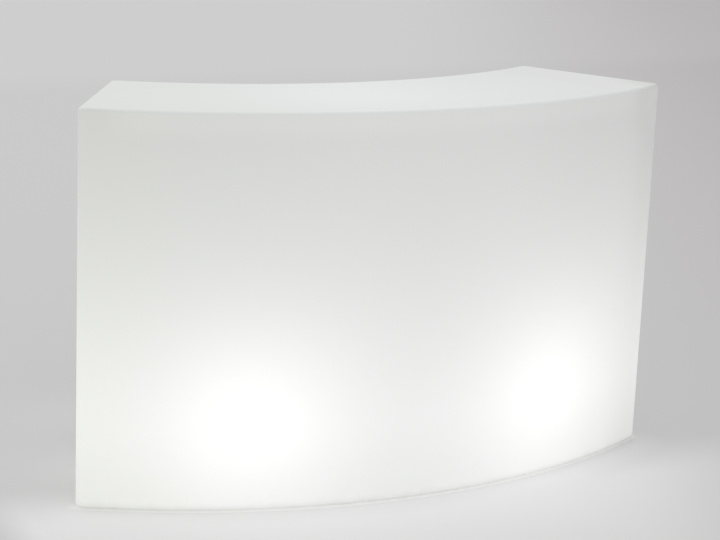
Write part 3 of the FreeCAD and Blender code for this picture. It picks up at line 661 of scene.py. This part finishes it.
shelfScrew = {
    "head": 0.0050, "rim": 0.0003, "sunk": 0.0002, "length": 0.018, "tip": 0.0006, "tipShare": 0.7,
    "neck": 0.0016, "threadStart": 0.0020,       # under the head
    "crest": 0.00245, "core": 0.0020, "pitch": 0.0008, "turns": 15, "threadSteps": 16,
    "recess": {"width": 0.0048, "breadth": 0.0011, "depth": 0.0022},
    "recessTurn": (17, 41),                      # degrees: of the first, and added for each next one
    "rows": [(1.392, 0.2766), (1.518, 0.2733)],  # radius on the ring, distance from the bay's middle
    "tops": {"lower": 0.410, "upper": 0.720},
}


def makeShelfScrews(values):
    head, rim, top = values["head"], values["rim"], -values["sunk"]
    under = top - head + values["crest"]
    steps = [(head, top), (head, top - rim), (values["crest"], under - rim)]
    screw = turned("shelfScrew", steps + shankSteps(values, under))
    crossRecess(screw, values["recess"], top)
    screw = joined("shelfScrew", [screw, threadRidge(values, under - values["neck"])])
    firstTurn, nextTurn = values["recessTurn"]
    places = []
    for top in values["tops"].values():
        for angle in lampAngles.values():        # each bay has the angle of its lamp
            for radius, across in values["rows"]:
                for side in (-1, 1):
                    turn = math.radians(firstTurn + nextTurn * len(places))
                    places.append((onRing(radius, angle, top, side * across), (0, 0, turn)))
    screws = joined("shelfScrews", copied(screw, places))
    finished(screws, "stainlessSteel", "body", "shelf_screws")
    discard(screw)


makeShelfScrews(shelfScrew)


# The covers' and lampholders' screws have domed heads, which lie on the face at the backs of the bays.
coverScrew = {
    "head": 0.0040, "height": 0.0026, "length": 0.014, "tip": 0.0005, "tipShare": 0.7,
    "neck": 0.0012, "threadStart": 0.0016,
    "crest": 0.00195, "core": 0.00158, "pitch": 0.0007, "turns": 14, "threadSteps": 16,
    "recess": {"width": 0.0042, "breadth": 0.0010, "depth": 0.0016},
    "radius": 1.600, "circle": 0.071, "count": 4, "first": 0.5,  # where the first one is, in steps
}
holderScrew = {
    "head": 0.0030, "height": 0.0018, "length": 0.009, "tip": 0.0005, "tipShare": 0.7,
    "neck": 0.0012, "threadStart": 0.0016,
    "crest": 0.00145, "core": 0.00115, "pitch": 0.0005, "turns": 11, "threadSteps": 16,
    "recess": {"width": 0.0030, "breadth": 0.0007, "depth": 0.0011},
    "radius": 1.600, "circle": 0.0225, "count": 2, "first": 1,
}
domedHead = {
    "profile": [(0.42, 1), (0.72, 0.93), (0.92, 0.70), (1, 0.38), (1, 0)],  # shares of its radius and height
    "recessTurn": (0.4, 1.1),                    # radians: of the first, and added for each next one
}


def makeLampScrews(name, values, node):
    steps = [(values["head"] * out, values["height"] * up) for out, up in domedHead["profile"]]
    screw = turned(name, steps + [(values["crest"], 0)] + shankSteps(values, 0))
    crossRecess(screw, values["recess"], values["height"])
    screw = joined(name, [screw, threadRidge(values, -values["neck"])])
    firstTurn, nextTurn = domedHead["recessTurn"]
    for side, angle in lampAngles.items():
        places = []
        for i in range(values["count"]):
            turn = math.tau * (i + values["first"]) / values["count"]
            across, rise = values["circle"] * math.cos(turn), values["circle"] * math.sin(turn)
            place = onRing(values["radius"], angle, ring["lampHeight"] + rise, across)
            places.append((place, (-math.pi / 2, firstTurn + nextTurn * i, math.radians(angle))))
        screws = joined(f"{name}s_{side}", copied(screw, places))
        finished(screws, "stainlessSteel", "body", f"{node}_{side}")
    discard(screw)


makeLampScrews("coverScrew", coverScrew, "light_cover_screws")
makeLampScrews("holderScrew", holderScrew, "lampholder_screws")
print("screws made")


footStud = {
    "headLow": 0.0053, "headHigh": 0.0093, "head": 0.0065, "headChamfer": 0.0004, "neck": 0.0042,
    "collarLow": 0.0173, "collarHigh": 0.0233, "collar": 0.0098, "chamfer": 0.0012, "chamferDrop": 0.55,
    "stemStart": 0.001,                          # above the collar's lower face
    "top": 0.0513, "tipIn": 0.0006, "tipDown": 0.0008, "ridgeDown": 0.0012,
    "crest": 0.00495, "core": 0.0041, "pitch": 0.0015, "turns": 17, "threadSteps": 32,
    "turnStep": 0.35,                            # each stud stands turned its own way, in radians
    "stemSides": 40, "barrelSides": 72,
}


def hexagonCollar(values):                       # its corners are cut back by a barrel with sloping ends
    high, low, radius, chamfer = (values[key] for key in ("collarHigh", "collarLow", "collar", "chamfer"))
    drop = chamfer * values["chamferDrop"]
    collar = rod(6, radius, low, high)
    barrel = turned("barrel", [(radius - chamfer, high), (radius, high - drop), (radius, low + drop),
                               (radius - chamfer, low)], values["barrelSides"])
    cutWith(collar, barrel, "INTERSECT")
    discard(barrel)
    return collar


def makeStuds(values):
    core, neck, head, top = (values[key] for key in ("core", "neck", "head", "top"))
    chamfer, stemStart = values["headChamfer"], values["collarLow"] + values["stemStart"]
    steps = [(core - values["tipIn"], top), (core, top - values["tipDown"]), (core, stemStart),
             (neck, stemStart), (neck, values["headHigh"]),
             (head - chamfer, values["headHigh"]), (head, values["headHigh"] - chamfer),
             (head, values["headLow"] + chamfer), (head - chamfer, values["headLow"])]
    stem = turned("footStud", steps, values["stemSides"])
    stud = joined("footStud", [stem, hexagonCollar(values), threadRidge(values, top - values["ridgeDown"])])
    for place in footPlaces:
        low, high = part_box(f"foot_stud_{place}")
        spot = ((low[0] + high[0]) / 2, (low[1] + high[1]) / 2, 0)
        piece = copied(stud, [(spot, (0, 0, values["turnStep"] * len(place)))])[0]
        piece.name = f"footStudThreaded_{place}"
        finished(piece, "zincPlate", f"stud_{place}", f"foot_stud_{place}")
    discard(stud)


makeStuds(footStud)
print("foot studs made")


glandNut = {
    "start": 0.1543, "height": 0.050, "length": 0.0147, "radius": 0.0105, "turn": 0.2, "vertices": 72,
    "crown": [(0.0032, 0.0003), (0.0014, 0.0014), (0.0004, 0.0028), (0.0, 0.0040)],  # in from the side, down
    "chamferIn": 0.0005, "chamferUp": 0.0006,
    "mouth": 0.0050, "mouthEdge": 0.0010, "mouthRing": 0.0045,
    "seal": 0.0080, "sealEnd": 0.0100, "boreVertices": 48,
    "over": 0.001,                               # cutters stand out this far
    "grips": 12, "gripRadius": 0.0014, "gripOut": 0.45, "gripLow": -0.0016, "gripHigh": 0.0107,
    "gripVertices": 16, "weld": 0.00001,
}


def makeGlandNut(values):
    length, radius, mouth, seal = (values[key] for key in ("length", "radius", "mouth", "seal"))
    steps = [(mouth + values["mouthEdge"], length)]
    steps += [(radius - inward, length - down) for inward, down in values["crown"]]
    steps += [(radius, values["chamferUp"]), (radius - values["chamferIn"], 0.0)]
    nut = turned("glandNut", steps, values["vertices"])
    bore = turned("bore", [(mouth, length + values["over"]), (mouth, length - values["mouthRing"]),
                           (mouth, values["sealEnd"]), (seal, values["sealEnd"]), (seal, -values["over"])],
                  values["boreVertices"])
    cutWith(nut, bore)
    discard(bore)
    gripRadius = values["gripRadius"]
    groove = rod(values["gripVertices"], gripRadius, values["gripLow"], values["gripHigh"],
                 radius + gripRadius * values["gripOut"])
    bpy.ops.object.mode_set(mode="EDIT")
    bpy.ops.mesh.select_all(action="SELECT")
    bpy.ops.mesh.spin(steps=values["grips"], dupli=True, angle=math.tau, center=(0, 0, 0), axis=(0, 0, 1))
    bpy.ops.mesh.select_all(action="SELECT")
    bpy.ops.mesh.remove_doubles(threshold=values["weld"])     # the last copy lies on the first
    bpy.ops.object.mode_set(mode="OBJECT")
    cutWith(nut, groove)
    discard(groove)
    piece = copied(nut, [((0, values["start"], values["height"]), (-math.pi / 2, values["turn"], 0))])[0]
    piece.name = "glandNutRibbed"
    finished(piece, "glandNylon", "body", "gland_cap")
    discard(nut)


makeGlandNut(glandNut)
print("gland nut made")


studio = {
    "size": 80,
    "sky": 1.0,
    "background": grey(0.578),
    "floor": 0.596,
    "roughness": 0.9,
    "shine": 0.1,
    "far": {"range": (6.3, 7.1), "gain": 0.024},
    "slant": 0.503,              # the floor darkens and warms to the right, along a slanting line
    "dark": {"range": (-0.12, 3.37), "loss": 0.145},
    "warm": {"range": (0.6, 2.4), "tints": [(1.003, 1.0, 1.003, 1), (1.025, 0.990, 1.012, 1)]},
    "pool": {"place": (-0.03, 0.752, 0.0), "peak": 2.142, "reach": 0.647, "fall": 1.5},
    "poolLeft": (-1.17, -1.03),
    "poolFar": {"range": (0.85, 1.4), "loss": 0.065},
    "poolEdge": {"offset": -0.148, "slope": -0.101, "soft": 0.18},
    "patch": {"place": (0.36, -0.55, 0.0), "peak": 0.024, "reach": 0.45, "fall": 2.0},
    "fromLeftEnd": [{"place": (-0.75, 0.18, 0.0), "peak": 0.085, "reach": 0.20, "fall": 2.0},
                    {"place": (-0.64, 0.66, 0.0), "peak": 0.050, "reach": 0.32, "fall": 2.0}],
    "spill": {"radius": 1.80, "inner": (-0.055, -0.012), "outer": (-0.012, 0.0072), "under": 0.23,
              "tint": (0.99, 0.95),              # red and blue, against green
              # painted light beside the ends of the front and painted shade along its middle, in the floor's
              # colour
              "end": 0.03, "reach": 0.13, "ahead": -0.040, "soft": 0.10,
              "right": {"range": (0.05, 0.75), "gain": 0.135},
              "left": {"range": (-0.98, -0.50), "gain": 0.085}},
}


def floorTone(sheet, values):                    # soft light and shade on the floor
    x, y = sheet.axes()[:2]
    slanted = x - y * values["slant"]
    far, dark, edge, poolFar = values["far"], values["dark"], values["poolEdge"], values["poolFar"]
    tone = values["floor"] + sheet.ramp(y, *far["range"]) * far["gain"]
    tone = tone - sheet.ramp(slanted, *dark["range"]) * dark["loss"]
    pool = lobe(sheet, values["pool"]) * sheet.ramp(x, *values["poolLeft"]) + lobe(sheet, values["patch"])
    pool = pool - sheet.ramp(slanted, *poolFar["range"]) * poolFar["loss"]
    ahead = x * edge["slope"] + edge["offset"] - y       # the part in front of the counter is lighter
    tone = tone + pool * sheet.ramp(ahead, -edge["soft"], edge["soft"])
    for patch in values["fromLeftEnd"]:
        tone = tone + lobe(sheet, patch)
    warm = sheet.mixColour(sheet.ramp(slanted, *values["warm"]["range"]), *values["warm"]["tints"])
    return sheet.vectors("MULTIPLY", sheet.combined(tone, tone, tone), warm)


def floorMaterial(values):
    sheet = newMaterial("studioFloorWithPaintedLight")
    spill = values["spill"]                      # light from the foot of the lit front
    beyond = ringRadius(sheet) - spill["radius"]
    light = (1 - sheet.ramp(beyond, *spill["outer"])) * spill["under"] * sheet.ramp(beyond, *spill["inner"])
    light = betweenEnds(sheet, light, -spill["end"], spill["end"])
    # painted light beside both ends of the front and painted shade along its middle, in the floor's colour
    across, right, left = sheet.axes()[0], spill["right"], spill["left"]
    atEnds = sheet.ramp(across, *right["range"]) * right["gain"]
    atEnds = atEnds + (1 - sheet.ramp(across, *left["range"])) * left["gain"]
    near = (1 - sheet.ramp(beyond, 0, spill["reach"])) * (atEnds + spill["ahead"])
    near = betweenEnds(sheet, near, -spill["soft"], spill["soft"])
    colour = sheet.vectors("ADD", floorTone(sheet, values), sheet.combined(near, near, near))
    red, blue = spill["tint"]
    glow = sheet.combined(light * red, light, light * blue)
    return sheet.surface(Base_Color=colour, Roughness=values["roughness"], Specular_IOR_Level=values["shine"],
                         Emission_Color=glow, Emission_Strength=1.0)


def makeWorld(values):                           # one level of light, and a plain tone where it is seen
    sheet = Sheet(bpy.data.worlds.new("studio"))
    rays = sheet.add("ShaderNodeLightPath").socket.node.outputs
    camera, glossy, clear = (Wire(sheet, rays[f"Is {kind} Ray"])
                             for kind in ("Camera", "Glossy", "Transmission"))
    seen = camera.sum("MAXIMUM", camera.sum("MAXIMUM", camera, glossy), clear)
    light = sheet.add("ShaderNodeBackground", None, {"Color": grey(1), "Strength": values["sky"]})
    shown = sheet.add("ShaderNodeBackground", None, {"Color": values["background"]})
    mixed = sheet.add("ShaderNodeMixShader", None, {"Fac": seen, 1: light, 2: shown})
    sheet.add("ShaderNodeOutputWorld", None, {"Surface": mixed})
    bpy.context.scene.world = sheet.owner


def makeFloor(values):
    select()
    bpy.ops.mesh.primitive_plane_add(size=values["size"])
    floor = bpy.context.object
    floor.name = "studioFloor"
    floor.data.materials.append(floorMaterial(values))


makeFloor(studio)
makeWorld(studio)
print("studio set")
